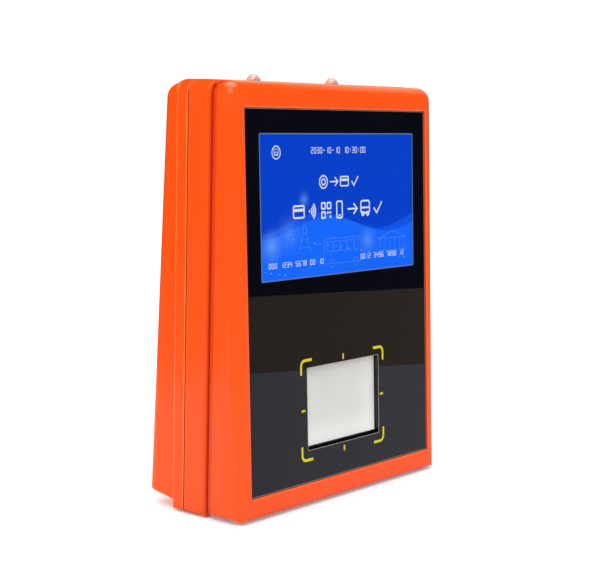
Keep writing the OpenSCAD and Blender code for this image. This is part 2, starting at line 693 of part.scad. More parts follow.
// A moulded tray behind the bay mouth holds the service parts; its flange is screwed to the cover.
module service_tray() color("DimGray") on_back() difference() {
  union() {
    slab(mouth_w + 2 * tray_t, tray_h + 2 * tray_t, tray_back, mouth_back, 0, tray_z);
    slab(mouth_w + 2 * tray_t + 8, flange_head - flange_foot, mouth_back - tray_t, mouth_back, 0,
      (flange_head + flange_foot) / 2);
    for (s = [-1, 1], t = [-1, 1])
      bar_y(2.6, service_front + board_t, tray_back + 0.5, port_x + s * post_gap, bay_z + 2 + t * 16);
  }
  slab(mouth_w, tray_h, bay_floor, mouth_back + 1, 0, tray_z);
  slab(16.6, 13.6, tray_back - 1, bay_floor + 1, port_x - 6, bay_z + 8);
  slab(18.6, 10.6, tray_back - 1, bay_floor + 1, port_x - 31, bay_z + 8);
  slab(18.6, 5.2, tray_back - 1, bay_floor + 1, port_x - 6, bay_z - 9);
  for (x = [reset_x, setup_x]) bar_y(button_r + run, tray_back - 1, bay_floor + 1, x, button_z);
  for (s = [-1, 1], z = flange_screw_z)
    bar_y(1.1, mouth_back - 2, mouth_back + 1, s * flange_screw_x, z);
  for (s = [-1, 1], t = [-1, 1])
    bar_y(0.9, service_front, tray_back - 0.2, port_x + s * post_gap, bay_z + 2 + t * 16);
}
module service_board() color("DarkGreen") on_back() difference() {
  slab(2 * post_gap + 6, 40, service_front, service_front + 1.6, port_x, bay_z + 2);
  for (s = [-1, 1], t = [-1, 1])
    bar_y(1.1, service_front - 1, service_front + 2, port_x + s * post_gap, bay_z + 2 + t * 16);
}
module service_screws() color("Silver") on_back() {
  for (s = [-1, 1], z = flange_screw_z) {
    bar_y(1, mouth_back - tray_t, mouth_back + 5, s * flange_screw_x, z);
    bar_y(2, mouth_back - tray_t - 1.4, mouth_back - tray_t, s * flange_screw_x, z);
  }
  for (s = [-1, 1], t = [-1, 1]) {
    bar_y(0.9, service_front, tray_back - 0.4, port_x + s * post_gap, bay_z + 2 + t * 16);
    bar_y(1.8, service_front - 1.4, service_front, port_x + s * post_gap, bay_z + 2 + t * 16);
  }
}
module button_switches() color("Black") on_back() for (x = [reset_x, setup_x])
  slab(6, 6, service_front + board_t, tray_back - 2.9, x, button_z);
module data_port() color("LightGray") on_back() difference() {
  slab(16, 13, bay_floor - 6, bay_floor + 4, port_x - 6, bay_z + 8);
  slab(12, 7, bay_floor - 4, bay_floor + 5, port_x - 6, bay_z + 9);
  slab(6, 3, bay_floor - 4, bay_floor + 5, port_x - 6, bay_z + 4.6);
}
module power_terminal() color("ForestGreen") on_back() difference() {
  slab(18, 10, bay_floor - 6, bay_floor + 9, port_x - 31, bay_z + 8);
  for (i = [-1.5:1:1.5]) {
    bar_y(1.4, bay_floor + 2, bay_floor + 10, port_x - 31 + i * 4.2, bay_z + 10.6);
    slab(2.8, 3.2, bay_floor + 2, bay_floor + 10, port_x - 31 + i * 4.2, bay_z + 6);
  }
}
module sim_socket() color("DimGray") on_back() difference() {
  slab(18, 4.6, bay_floor - 6, bay_floor + 3, port_x - 6, bay_z - 9);
  slab(15.4, 1.2, bay_floor - 4, bay_floor + 4, port_x - 6, bay_z - 9);
}
module sim_card() color("White") on_back()
  slab(15, 0.8, bay_floor - 4, bay_floor + 5, port_x - 6, bay_z - 9);
module service_button(x) on_back() union() {
  bar_y(button_r, tray_back - 1.6, bay_floor + 3.6, x, button_z);
  bar_y(button_r + 1, tray_back - 1.6, tray_back - 0.4, x, button_z);
}
module reset_button() color("Crimson") service_button(reset_x);
module setup_button() color("Gold") service_button(setup_x);

module service_door() color("OrangeRed") on_back() difference() {
  union() {
    slab(door_w, door_h - 4.4, door_inner, -door_sunk, 0, bay_z + 2.2);
    for (x = [-36, 36]) {
      translate([x - 12, hinge_y, hinge_z]) rotate([0, 90, 0]) cylinder(r = knuckle_r, h = 24);
      slab(24, 4, door_inner + 0.5, -door_sunk - 0.1, x, hinge_z + 2);
    }
    bar_y(lock_r + 3, door_inner - 2, door_inner + 1, 0, lock_z);
  }
  translate([-60, hinge_y, hinge_z]) rotate([0, 90, 0]) cylinder(r = pin_r + run, h = 120);
  bar_y(lock_r, door_inner - 3, 1, 0, lock_z);
  // finger notch in the top edge
  bar_y(7, door_inner + 1.2, 1, 38, door_foot + door_h + 2);
}
module door_gasket() color("DimGray") on_back() difference() {
  slab(door_w - 2, door_h - 8, door_inner - gasket_t, door_inner, 0, bay_z + 3.4);
  slab(door_w - 6, door_h - 12, door_inner - 2, door_inner + 1, 0, bay_z + 3.4);
}
module hinge_pin() color("Silver") on_back() translate([-door_w / 2 - 5, hinge_y, hinge_z])
  rotate([0, 90, 0]) cylinder(r = pin_r, h = door_w + 10);

module lock_barrel() color("Silver") on_back() difference() {
  union() {
    bar_y(lock_r, door_inner - 4.4, -door_sunk, 0, lock_z);
    bar_y(lock_r + 2, -door_sunk, -door_sunk + 1.2, 0, lock_z);
  }
  bar_y(plug_r + run, door_inner - 6, 1, 0, lock_z);
}
module lock_nut() color("Silver") on_back() difference() {
  translate([0, door_inner - 4.2, lock_z]) rotate([-90, 0, 0]) cylinder(r = lock_r + 3, h = 2.2, $fn = 6);
  bar_y(lock_r, door_inner - 6, door_inner, 0, lock_z);
}
module lock_plug() color("Gold") on_back() difference() {
  union() {
    bar_y(plug_r, door_inner - 7, -door_sunk + 1, 0, lock_z);
    slab(4, 4, door_inner - 8.4, door_inner - 6, 0, lock_z);
  }
  slab(0.8, 4, -door_sunk - 2.4, 1, 0, lock_z);
}
module lock_cam() color("Silver") on_back() difference() {
  slab(21.5, 9, door_inner - 6.4, door_inner - 4.9, 6.25, lock_z);
  bar_y(plug_r, door_inner - 8, door_inner - 4, 0, lock_z);
}

front_housing();
rear_cover();
case_gasket();
case_screws();
panel_glass();
panel_print();
panel_tape();
display_frame();
display_panel();
display_backlight();
display_bracket();
display_screws();
scan_window();
scan_window_gasket();
scanner_hood();
scanner_body();
scanner_lens();
scanner_lamps();
reader_screws();
card_antenna_board();
main_board();
board_standoffs();
board_screws();
processor_shield();
mobile_modem();
security_sockets();
board_headers();
clock_battery();
buzzer();
ribbons();
status_dome_left();
status_dome_right();
status_led_board();
status_leds();
led_board_screws();
satellite_antenna();
power_board();
power_components();
speaker();
cover_screws();
mount_inserts();
cable_grommet();
service_tray();
service_screws();
service_board();
button_switches();
data_port();
power_terminal();
sim_socket();
sim_card();
reset_button();
setup_button();
service_door();
door_gasket();
hinge_pin();
lock_barrel();
lock_nut();
lock_plug();
lock_cam();
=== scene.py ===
import json
import math
import bmesh
import bpy
from mathutils import Matrix, Vector


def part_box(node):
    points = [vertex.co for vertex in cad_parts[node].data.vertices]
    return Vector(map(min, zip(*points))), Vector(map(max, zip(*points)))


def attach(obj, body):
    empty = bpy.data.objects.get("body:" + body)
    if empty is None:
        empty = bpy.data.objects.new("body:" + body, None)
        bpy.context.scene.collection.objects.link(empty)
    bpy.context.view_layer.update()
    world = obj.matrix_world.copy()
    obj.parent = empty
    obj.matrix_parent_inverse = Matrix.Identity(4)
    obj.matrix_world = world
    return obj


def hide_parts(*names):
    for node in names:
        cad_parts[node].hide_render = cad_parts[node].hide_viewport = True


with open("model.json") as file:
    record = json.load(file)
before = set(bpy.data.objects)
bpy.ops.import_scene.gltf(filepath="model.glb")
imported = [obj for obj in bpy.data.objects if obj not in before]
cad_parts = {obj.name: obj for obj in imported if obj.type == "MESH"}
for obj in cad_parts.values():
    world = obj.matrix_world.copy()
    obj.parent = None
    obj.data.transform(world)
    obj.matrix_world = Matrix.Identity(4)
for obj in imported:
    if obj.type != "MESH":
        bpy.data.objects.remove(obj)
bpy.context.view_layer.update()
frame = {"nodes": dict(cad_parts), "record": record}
NODES = frame["nodes"]
SCENE = bpy.context.scene

# ---------------------------------------------------------------- camera
CAM_PLACE = Vector((-0.7253, -0.5848, 0.2414))
CAM_FORWARD = Vector((0.76973, 0.62625, -0.12381))
CAM_UP = Vector((0.08256, 0.09465, 0.99208))
CAM_LENS = 89.19
SENSOR_WIDTH = 36
FAR_CLIP = 30

# ---------------------------------------------------------------- sizes, metres
# On the panel, heights go up the glass from its middle and depths go into the case from its face.
LEAN = math.radians(2.8)
GLASS_W = 0.1817
GLASS_H = 0.2278
GLASS_T = 0.0028
SCREEN_W = 0.1542         # the picture's opening in the print
SCREEN_H = 0.086
SCREEN_UP = 0.0559
WINDOW_W = 0.0734         # the scan window's cut-out in the glass
WINDOW_H = 0.051
WINDOW_UP = -0.0687
PRINT_EDGE = 0.00025      # the print keeps this far from the edges of the glass
PRINT_FRONT = -0.00002    # the gloss of the glass over its print is drawn as one glossy skin
PRINT_BACK = 0.0002
MARK_FRONT = -0.00004
MARK_BACK = 0.0
MARKS_W = 0.0842          # the aiming marks round the scan window, over their middle lines
MARKS_H = 0.0618
MARKS_UP = -0.0691
MARKS_SIDE = -0.0004
MARK_STROKE = 0.0017
PLATE_W = 0.0804          # the opal plate behind the scan window's cut-out
PLATE_H = 0.058
PLATE_FRONT = 0.0034
PLATE_BACK = 0.0049
MASK_FRONT = 0.00332
MASK_BACK = 0.00338
LCD_W = 0.159
LCD_H = 0.092
LCD_FRONT = 0.00306       # just proud of its steel frame, so the picture fills its opening
LCD_BACK = 0.0048
INK_BACK = LCD_FRONT - 0.00003
INK_FRONT = LCD_FRONT - 0.00006
SHOULDER_EDGE = 0.0147    # depths in the case of two moulded edges that get a painted highlight
SEAM_EDGE = 0.0063
GROOVE = -0.015           # and of the groove round the case, which gets painted shade
WELD = 0.000002           # points closer than this are one point of a CAD shape
SLIVER = 0.000001
FLAT = math.radians(0.4)  # faces closer in angle than this are one flat face
SHARP = 32.0              # edges of a CAD shape sharper than this, in degrees, are softened


def panel_frame():
    """Local x to the right, y into the case, z up along the glass."""
    low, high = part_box("panel_glass")
    deep = Vector((0, math.cos(LEAN), -math.sin(LEAN)))
    at = (low + high) / 2 - deep * GLASS_T / 2
    c = math.cos(LEAN)
    s = math.sin(LEAN)
    return Matrix(((1, 0, 0, at.x), (0, c, s, at.y), (0, -s, c, at.z), (0, 0, 0, 1)))


PANEL = panel_frame()


# ---------------------------------------------------------------- mesh helpers
def finish_piece(name, bm, mat, body, place=None, bevel=0.0, angle=35.0):
    """A new piece from a bmesh, riding on a CAD body."""
    bmesh.ops.recalc_face_normals(bm, faces=bm.faces)
    for f in bm.faces:
        f.smooth = True
    for e in bm.edges:
        e.smooth = e.calc_face_angle(0.0) < math.radians(angle)
    mesh = bpy.data.meshes.new(name)
    bm.to_mesh(mesh)
    bm.free()
    o = bpy.data.objects.new(name, mesh)
    SCENE.collection.objects.link(o)
    if place is not None:
        o.matrix_world = place
    mesh.materials.append(mat)
    if bevel:
        edge_bevel(o, bevel, angle)
    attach(o, body)
    return o


def edge_bevel(o, width, angle):
    """Softens every edge sharper than angle, in degrees."""
    m = o.modifiers.new("edge", "BEVEL")
    m.width = width
    m.segments = 2
    m.limit_method = "ANGLE"
    m.angle_limit = math.radians(angle)
    m.harden_normals = True
    m.miter_outer = "MITER_ARC"


def dress(node, mat, bevel, body):
    """A shown piece on the CAD node's own shape, welded, with softened edges."""
    source = NODES[node].data
    bm = bmesh.new()
    for v in source.vertices:
        bm.verts.new(v.co)
    bm.verts.ensure_lookup_table()
    for p in source.polygons:
        bm.faces.new([bm.verts[i] for i in p.vertices])
    bmesh.ops.remove_doubles(bm, verts=bm.verts, dist=WELD)
    bmesh.ops.dissolve_degenerate(bm, edges=bm.edges, dist=SLIVER)
    bmesh.ops.dissolve_limit(bm, angle_limit=FLAT, verts=bm.verts, edges=bm.edges)
    o = finish_piece(node + "_skin", bm, mat, body, bevel=bevel, angle=SHARP)
    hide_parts(node)


def prism(bm, outline, d0, d1):
    """A closed thin plate: outline in (x, up), from depth d0 to depth d1."""
    front = [bm.verts.new((x, d0, z)) for x, z in outline]
    back = [bm.verts.new((x, d1, z)) for x, z in outline]
    bm.faces.new(front)
    bm.faces.new(back[::-1])
    n = len(outline)
    for i in range(n):
        j = (i + 1) % n
        bm.faces.new((front[i], back[i], back[j], front[j]))


def mitre(points, i, closed):
    """The sideways step at point i that keeps a stroke's width round its corner."""
    n = len(points)
    here = Vector(points[i])
    before = Vector(points[i - 1]) if closed or i else None
    after = Vector(points[(i + 1) % n]) if closed or i < n - 1 else None
    sides = []
    for a, b in ((before, here), (here, after)):
        if a is not None and b is not None:
            d = (b - a).normalized()
            sides.append(Vector((-d.y, d.x)))
    m = (sides[0] + sides[-1]).normalized()
    return m / max(0.5, m.dot(sides[0]))


def ribbon(bm, points, width, d0, d1, closed=False):
    """A stroke of that width along points in (x, up)."""
    rings = []
    for i, p in enumerate(points):
        m = mitre(points, i, closed) * width / 2
        a = Vector(p) + m
        b = Vector(p) - m
        rings.append([bm.verts.new(c) for c in
                      ((a.x, d0, a.y), (a.x, d1, a.y), (b.x, d1, b.y), (b.x, d0, b.y))])
    last = len(rings) if closed else len(rings) - 1
    for i in range(last):
        r = rings[i]
        s = rings[(i + 1) % len(rings)]
        for k in range(4):
            bm.faces.new((r[k], r[(k + 1) % 4], s[(k + 1) % 4], s[k]))
    if not closed:
        bm.faces.new(rings[0])
        bm.faces.new(rings[-1][::-1])


def arc(cx, cz, r, start, end, steps=8):
    """Points round (cx, cz) from the angle start to the angle end, in degrees."""
    out = []
    for i in range(steps + 1):
        a = math.radians(start + (end - start) * i / steps)
        out.append((cx + r * math.cos(a), cz + r * math.sin(a)))
    return out


def rounded(cx, cz, w, h, r):
    """Corner points of a rounded rectangle, anticlockwise."""
    out = []
    for sx, sz, a in ((1, -1, -90), (1, 1, 0), (-1, 1, 90), (-1, -1, 180)):
        out += arc(cx + sx * (w / 2 - r), cz + sz * (h / 2 - r), r, a, a + 90, 5)
    return out


def cuts(half, count):
    """Even cuts from -half to half."""
    return [-half + 2 * half * i / count for i in range(count + 1)]


def cells(bm, xs, zs, holes, d0, d1):
    """A plate made of grid cells, leaving out the cells listed in holes."""
    made = {}

    def at(i, j, d):
        key = (i, j, d)
        if key not in made:
            made[key] = bm.verts.new((xs[i], d, zs[j]))
        return made[key]

    full = {(i, j) for i in range(len(xs) - 1) for j in range(len(zs) - 1)} - set(holes)
    for i, j in sorted(full):
        for d in (d0, d1):
            bm.faces.new((at(i, j, d), at(i + 1, j, d), at(i + 1, j + 1, d), at(i, j + 1, d)))
        walls = (((i - 1, j), (i, j), (i, j + 1)), ((i + 1, j), (i + 1, j), (i + 1, j + 1)),
                 ((i, j - 1), (i, j), (i + 1, j)), ((i, j + 1), (i, j + 1), (i + 1, j + 1)))
        for near, a, b in walls:
            if near not in full:
                bm.faces.new((at(*a, d0), at(*b, d0), at(*b, d1), at(*a, d1)))


# ---------------------------------------------------------------- material helpers
def blank(name):
    """A material with one Principled shader: the material, its tree and the shader."""
    m = bpy.data.materials.new(name)
    m.use_nodes = True
    t = m.node_tree
    t.nodes.clear()
    out = t.nodes.new("ShaderNodeOutputMaterial")
    s = t.nodes.new("ShaderNodeBsdfPrincipled")
    t.links.new(s.outputs[0], out.inputs["Surface"])
    return m, t, s


def coords(t, stretch=(1, 1, 1)):
    """The piece's own coordinates in metres, times stretch."""
    c = t.nodes.new("ShaderNodeTexCoord")
    p = t.nodes.new("ShaderNodeMapping")
    p.inputs["Scale"].default_value = stretch
    t.links.new(c.outputs["Object"], p.inputs["Vector"])
    return p.outputs[0]


def grain(t, scale, detail=3.0, stretch=(1, 1, 1)):
    """Noise with that many spots to a metre."""
    n = t.nodes.new("ShaderNodeTexNoise")
    n.inputs["Scale"].default_value = scale
    n.inputs["Detail"].default_value = detail
    t.links.new(coords(t, stretch), n.inputs["Vector"])
    return n.outputs[0]


def ramp(t, factor, *stops):
    """stops are (place, colour)."""
    r = t.nodes.new("ShaderNodeValToRGB")
    r.color_ramp.elements[0].position = stops[0][0]
    r.color_ramp.elements[0].color = (*stops[0][1], 1)
    r.color_ramp.elements[1].position = stops[-1][0]
    r.color_ramp.elements[1].color = (*stops[-1][1], 1)
    for place, colour in stops[1:-1]:
        e = r.color_ramp.elements.new(place)
        e.color = (*colour, 1)
    t.links.new(factor, r.inputs["Fac"])
    return r.outputs["Color"]


def span(t, factor, low, high, from_low=0.3, from_high=0.7):
    """factor, mapped from from_low..from_high to low..high and held inside it."""
    r = t.nodes.new("ShaderNodeMapRange")
    r.inputs["From Min"].default_value = from_low
    r.inputs["From Max"].default_value = from_high
    r.inputs["To Min"].default_value = low
    r.inputs["To Max"].default_value = high
    t.links.new(factor, r.inputs["Value"])
    return r.outputs[0]


def calc(t, op, a, b=None):
    """One arithmetic step on sockets or numbers."""
    n = t.nodes.new("ShaderNodeMath")
    n.operation = op
    for i, v in enumerate((a, b)):
        if v is None:
            continue
        if isinstance(v, (int, float)):
            n.inputs[i].default_value = v
        else:
            t.links.new(v, n.inputs[i])
    return n.outputs[0]


def mix(t, factor, a, b, mode="MIX"):
    """Two colours, each a socket or a tuple, mixed by factor."""
    n = t.nodes.new("ShaderNodeMix")
    n.data_type = "RGBA"
    n.blend_type = mode
    for socket, v in ((n.inputs[0], factor), (n.inputs[6], a), (n.inputs[7], b)):
        if isinstance(v, (int, float)):
            socket.default_value = v
        elif isinstance(v, tuple):
            socket.default_value = (*v, 1)
        else:
            t.links.new(v, socket)
    return n.outputs[2]


def bump(t, s, height, distance, strength):
    """Relief of that height in metres on the shader."""
    b = t.nodes.new("ShaderNodeBump")
    b.inputs["Distance"].default_value = distance
    b.inputs["Strength"].default_value = strength
    t.links.new(height, b.inputs["Height"])
    t.links.new(b.outputs[0], s.inputs["Normal"])


def tones(colour, amount):
    """A darker and a lighter tone of a colour."""
    return (tuple(c * (1 - amount) for c in colour), tuple(min(1.0, c * (1 + amount)) for c in colour))


def surface(name, colour, rough, tone, spec=0.5, fine=1800.0, depth=0.00002):
    """Moulded surface: patchy tone and roughness, fine grain in colour and relief."""
    m, t, s = blank(name)
    dark, light = tones(colour, tone)
    broad = grain(t, 30.0, 5.0)
    fleck = grain(t, fine, 2.0)
    body = ramp(t, broad, (0.3, dark), (0.5, colour), (0.7, light))
    specks = ramp(t, fleck, (0.35, (0.94, 0.94, 0.94)), (0.6, (1, 1, 1)))
    t.links.new(mix(t, 1.0, body, specks, "MULTIPLY"), s.inputs["Base Color"])
    t.links.new(span(t, broad, rough - 0.08, rough + 0.08), s.inputs["Roughness"])
    s.inputs["Specular IOR Level"].default_value = spec
    bump(t, s, fleck, depth, 0.4)
    return m


# ---------------------------------------------------------------- materials
ORANGE = (0.8, 0.0685, 0.001)
SCUFFED = (0.85, 0.14, 0.02)
# painted highlight: pale orange laid on edges and lines where they would catch the light
PAINTED_HIGHLIGHT = (0.92, 0.2, 0.055)
# painted shade: dark red laid along the groove round the case
GROOVE_PAINTED_SHADE = (0.58, 0.018, 0.0003)


def band(t, depth, middle, half):
    """1 along a moulded edge or groove at that depth of the case, fading over half a width."""
    return span(t, calc(t, "ABSOLUTE", calc(t, "SUBTRACT", depth, middle)), 1.0, 0.0, half * 0.3, half)


def orange_shell():
    """Satin orange moulding: spark texture, flow marks, scuffs, painted highlights along its edges, painted
    shade in its groove and corners.
    """
    m, t, s = blank("orange_shell")
    dark, light = tones(ORANGE, 0.05)
    flow = grain(t, 9.0, 4.0, (1, 1, 0.35))
    spark = grain(t, 2600.0, 2.0)
    scuff = grain(t, 260.0, 6.0, (1, 1, 7))
    body = ramp(t, flow, (0.32, dark), (0.5, ORANGE), (0.68, light))
    marks = ramp(t, scuff, (0.72, (0, 0, 0)), (0.86, (0.35, 0.35, 0.35)))
    wear_and_painted_light = mix(t, marks, body, SCUFFED)
    # painted highlight on every sharp edge, found from the bevel normal
    rounding = t.nodes.new("ShaderNodeBevel")
    rounding.samples = 6
    rounding.inputs["Radius"].default_value = 0.0013     # how far from an edge the painted highlight reaches
    shape = t.nodes.new("ShaderNodeNewGeometry")
    turn = t.nodes.new("ShaderNodeVectorMath")
    turn.operation = "DOT_PRODUCT"
    t.links.new(rounding.outputs[0], turn.inputs[0])
    t.links.new(shape.outputs["Normal"], turn.inputs[1])
    edge = span(t, turn.outputs["Value"], 0.75, 0.0, 0.93, 0.995)
    wear_and_painted_light = mix(t, edge, wear_and_painted_light, PAINTED_HIGHLIGHT)
    place = t.nodes.new("ShaderNodeSeparateXYZ")
    t.links.new(coords(t), place.inputs[0])
    depth = place.outputs[1]
    # painted highlight lines along the shoulder and the seam edge, a little uneven
    for middle, half, most in ((SHOULDER_EDGE, 0.0011, 0.9), (SEAM_EDGE, 0.0005, 0.7)):
        uneven = span(t, scuff, most * 0.7, most)
        wear_and_painted_light = mix(t, calc(t, "MULTIPLY", band(t, depth, middle, half), uneven), wear_and_painted_light, PAINTED_HIGHLIGHT)
    # painted shade along the groove
    wear_and_painted_light = mix(t, calc(t, "MULTIPLY", band(t, depth, GROOVE, 0.0028), 0.8), wear_and_painted_light, GROOVE_PAINTED_SHADE)
    # painted shade: darker red where ambient occlusion finds corners, creases and the groove
    corner = t.nodes.new("ShaderNodeAmbientOcclusion")
    corner.inputs["Distance"].default_value = 0.007
    corner.samples = 8
    painted_corner_shade = ramp(t, corner.outputs["AO"], (0.3, (0.52, 0.18, 0.08)), (0.85, (1, 1, 1)))
    t.links.new(mix(t, 1.0, wear_and_painted_light, painted_corner_shade, "MULTIPLY"), s.inputs["Base Color"])
    rough = calc(t, "ADD", span(t, flow, 0.17, 0.23), span(t, scuff, 0.0, 0.06, 0.55, 0.8))
    t.links.new(rough, s.inputs["Roughness"])
    s.inputs["Specular IOR Level"].default_value = 0.4
    bump(t, s, spark, 0.000012, 0.35)
    return m


def glass_sheet():
    """Toughened cover glass: clear, with faint wiping smears and a few fine scratches."""
    m, t, s = blank("panel_glass")
    smear = grain(t, 22.0, 5.0, (1, 1, 0.4))
    scratch = grain(t, 900.0, 2.0, (0.05, 1, 1))
    s.inputs["Transmission Weight"].default_value = 1.0
    s.inputs["IOR"].default_value = 1.5
    t.links.new(ramp(t, smear, (0.3, (0.97, 0.99, 0.98)), (0.7, (1, 1, 1))), s.inputs["Base Color"])
    wipe = calc(t, "MULTIPLY", span(t, smear, 0.0, 0.02, 0.5, 0.8), span(t, scratch, 0.6, 1.0))
    t.links.new(wipe, s.inputs["Roughness"])
    return m


def black_print():
    """Black print under gloss glass: even and dark, with faint wiping smears in its gloss."""
    m, t, s = blank("panel_print")
    smear = grain(t, 22.0, 5.0, (1, 1, 0.4))
    cloud = grain(t, 14.0, 3.0)
    t.links.new(ramp(t, cloud, (0.3, (0.0013, 0.0014, 0.0018)), (0.7, (0.0019, 0.002, 0.0026))),
                s.inputs["Base Color"])
    t.links.new(span(t, smear, 0.0, 0.03, 0.5, 0.8), s.inputs["Roughness"])
    s.inputs["IOR"].default_value = 1.5
    return m


def frosted():
    """Opal window plate: pale grey, with painted light that makes it a little brighter towards its foot and
    brightest at its right edge.
    """
    m, t, s = blank("frosted_window")
    place = t.nodes.new("ShaderNodeSeparateXYZ")
    t.links.new(coords(t), place.inputs[0])
    cloud = grain(t, 45.0, 4.0)
    half_w = 0.037
    half_h = 0.026
    # painted light: brighter towards the foot of the plate
    painted_light_by_height = ramp(t, span(t, place.outputs[2], 0.0, 1.0, -half_h, half_h),
                (0.0, (0.88, 0.88, 0.86)), (0.35, (0.68, 0.68, 0.66)), (1.0, (0.65, 0.65, 0.63)))
    # painted light: brightest at the right edge of the plate
    across = ramp(t, span(t, place.outputs[0], 0.0, 1.0, -half_w, half_w),
                  (0.0, (0.9, 0.9, 0.9)), (0.3, (0.83, 0.83, 0.83)), (0.75, (0.86, 0.86, 0.86)),
                  (1.0, (1, 1, 1)))
    spots = ramp(t, cloud, (0.3, (0.96, 0.96, 0.96)), (0.7, (1, 1, 1)))
    shade = mix(t, 1.0, painted_light_by_height, across, "MULTIPLY")
    t.links.new(mix(t, 1.0, shade, spots, "MULTIPLY"), s.inputs["Base Color"])
    t.links.new(span(t, cloud, 0.32, 0.45), s.inputs["Roughness"])
    s.inputs["Subsurface Weight"].default_value = 0.15
    s.inputs["Subsurface Radius"].default_value = (0.002, 0.002, 0.002)
    s.inputs["Specular IOR Level"].default_value = 0.3
    bump(t, s, grain(t, 4000.0, 1.0), 0.000005, 0.3)
    return m


def brushed(name, colour, rough, stretch):
    """Drawn or brushed metal: grain along one direction, fine handling dullness."""
    m, t, s = blank(name)
    lines = grain(t, 700.0, 4.0, stretch)
    dull = grain(t, 60.0, 4.0)
    dark, light = tones(colour, 0.12)
    t.links.new(ramp(t, lines, (0.3, dark), (0.7, light)), s.inputs["Base Color"])
    both = calc(t, "ADD", span(t, lines, rough - 0.07, rough + 0.07), span(t, dull, 0.0, 0.12, 0.5, 0.8))
    t.links.new(both, s.inputs["Roughness"])
    s.inputs["Metallic"].default_value = 1.0
    bump(t, s, lines, 0.000006, 0.4)
    return m


def circuit_board():
    """Green solder mask over copper tracks, with tinned pads."""
    m, t, s = blank("circuit_board")
    weave = t.nodes.new("ShaderNodeTexBrick")
    weave.inputs["Scale"].default_value = 160.0
    weave.inputs["Mortar Size"].default_value = 0.06
    weave.inputs["Color1"].default_value = (0.006, 0.07, 0.02, 1)
    weave.inputs["Color2"].default_value = (0.008, 0.09, 0.028, 1)
    weave.inputs["Mortar"].default_value = (0.02, 0.17, 0.05, 1)
    turn = t.nodes.new("ShaderNodeCombineXYZ")
    split = t.nodes.new("ShaderNodeSeparateXYZ")
    t.links.new(coords(t), split.inputs[0])
    t.links.new(split.outputs[0], turn.inputs[0])
    t.links.new(split.outputs[2], turn.inputs[1])
    t.links.new(turn.outputs[0], weave.inputs["Vector"])
    dots = t.nodes.new("ShaderNodeTexVoronoi")
    dots.inputs["Scale"].default_value = 240.0
    t.links.new(turn.outputs[0], dots.inputs["Vector"])
    pad = ramp(t, dots.outputs["Distance"], (0.09, (1, 1, 1)), (0.12, (0, 0, 0)))
    t.links.new(mix(t, pad, weave.outputs["Color"], (0.55, 0.54, 0.5)), s.inputs["Base Color"])
    t.links.new(span(t, grain(t, 120.0), 0.25, 0.42), s.inputs["Roughness"])
    bump(t, s, weave.outputs["Fac"], 0.00003, 0.5)
    return m


def ribbon_film():
    """Polyimide flat cable with its copper lines showing through."""
    m, t, s = blank("ribbon_film")
    w = t.nodes.new("ShaderNodeTexWave")
    w.bands_direction = "X"
    w.inputs["Scale"].default_value = 330.0
    w.inputs["Distortion"].default_value = 0.0
    t.links.new(coords(t), w.inputs["Vector"])
    t.links.new(ramp(t, w.outputs["Fac"], (0.35, (0.30, 0.12, 0.03)), (0.65, (0.62, 0.30, 0.09))),
                s.inputs["Base Color"])
    t.links.new(span(t, grain(t, 90.0), 0.2, 0.38), s.inputs["Roughness"])
    bump(t, s, w.outputs["Fac"], 0.00003, 0.5)
    return m


def clear(name, tint, ior=1.49, through=1.0):
    """Clear moulding with faint flow lines and hairline scratches."""
    m, t, s = blank(name)
    flow = grain(t, 120.0, 4.0)
    dark, light = tones(tint, 0.04)
    t.links.new(ramp(t, flow, (0.3, dark), (0.7, light)), s.inputs["Base Color"])
    t.links.new(span(t, flow, 0.0, 0.06, 0.4, 0.8), s.inputs["Roughness"])
    s.inputs["Transmission Weight"].default_value = through
    s.inputs["IOR"].default_value = ior
    bump(t, s, grain(t, 1500.0, 2.0), 0.000002, 0.1)
    return m


def glow_plain(name, colour, strength):
    """Lit pixels, or printed ink drawn glowing as painted light: emission with the faint unevenness of a
    backlight.
    """
    m, t, s = blank(name)
    dark, light = tones(colour, 0.06)
    lit = ramp(t, grain(t, 60.0), (0.3, dark), (0.7, light))
    s.inputs["Base Color"].default_value = (0.01, 0.01, 0.012, 1)
    s.inputs["Specular IOR Level"].default_value = 0.0
    t.links.new(span(t, grain(t, 300.0), 0.5, 0.7), s.inputs["Roughness"])
    t.links.new(lit, s.inputs["Emission Color"])
    s.inputs["Emission Strength"].default_value = strength
    return m


# ---------------------------------------------------------------- display picture
DEEP_BLUE = (0.0002, 0.05, 0.6)
MID_BLUE = (0.004, 0.09, 0.8)
WAVE_BLUE = (0.007, 0.138, 0.98)
GLOW_BLUE = (0.18, 0.42, 0.95)
NEAR_WAVE = (-0.0133, 0.0058, -0.012, 0.128)      # middle, swing, peak and length
FAR_WAVE = (-0.011, 0.006, -0.022, 0.125)
GLOWS = ((-0.035, 0.0036, 0.007, 0.75), (-0.066, -0.0229, 0.014, 0.85),
         (0.029, -0.0241, 0.012, 0.7), (-0.05, -0.0165, 0.016, 0.6))    # x, height, radius, strength


def wave_height(t, x, middle, swing, peak, length):
    """Height of a wave's edge at x: middle + swing * cos(2 pi (x - peak) / length)."""
    turn = calc(t, "MULTIPLY", calc(t, "SUBTRACT", x, peak), 2 * math.pi / length)
    return calc(t, "ADD", calc(t, "MULTIPLY", calc(t, "COSINE", turn), swing), middle)


def below(t, up, height, soft):
    """1 under that height, with a soft border."""
    return span(t, calc(t, "SUBTRACT", height, up), 0.0, 1.0, -soft, soft)


def glow(t, x, up, cx, cz, r, peak):
    """A round glow that fades out at radius r."""
    dx = calc(t, "SUBTRACT", x, cx)
    dz = calc(t, "SUBTRACT", up, cz)
    away = calc(t, "SQRT", calc(t, "ADD", calc(t, "MULTIPLY", dx, dx), calc(t, "MULTIPLY", dz, dz)))
    n = span(t, away, peak, 0.0, 0.0, r)
    return calc(t, "MULTIPLY", n, n)


